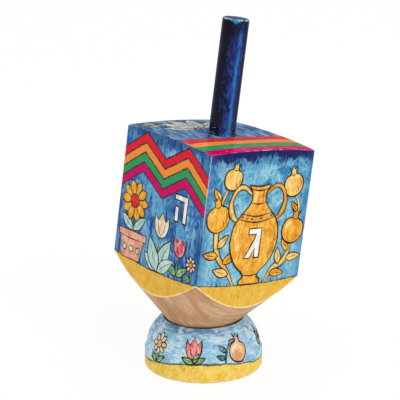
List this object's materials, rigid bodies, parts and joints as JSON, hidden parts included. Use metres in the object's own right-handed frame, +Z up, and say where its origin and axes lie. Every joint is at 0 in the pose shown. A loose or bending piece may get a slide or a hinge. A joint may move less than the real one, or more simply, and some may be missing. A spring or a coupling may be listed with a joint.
{
  "type": "dreidel",
  "caption": "Painted wooden dreidel: a square block turned to a point below, with a dowel stem, leaning in a domed wooden stand.",
  "frame": {"origin": "middle of the stand's flat underside", "axes": "+Z up; +X and -Y are the ways that the gimel and hey faces of the block turn before it leans; the dreidel leans 7.5 degrees towards the compass direction 75 degrees from +X towards +Y"},
  "size_m": [0.052, 0.0572, 0.1338],
  "materials": {
    "stand_paint": "painted light blue with a yellow band, varnished, semi-gloss",
    "block_paint": "painted blue with an ochre border, varnished, bare turned wood below, semi-gloss",
    "stem_paint": "painted dark blue, varnished, glossy"
  },
  "bodies": {
    "stand": {"stand": "stand_paint"},
    "dreidel": {"block": "block_paint", "stem": "stem_paint"}
  },
  "joints": [
    {"name": "dreidel_spin", "type": "hinge", "parent": "stand", "child": "dreidel", "pos_m": [0.00022, 0.0008, 0.04042], "axis": [0.0338, 0.1261, 0.9914], "continuous": true}
  ]
}
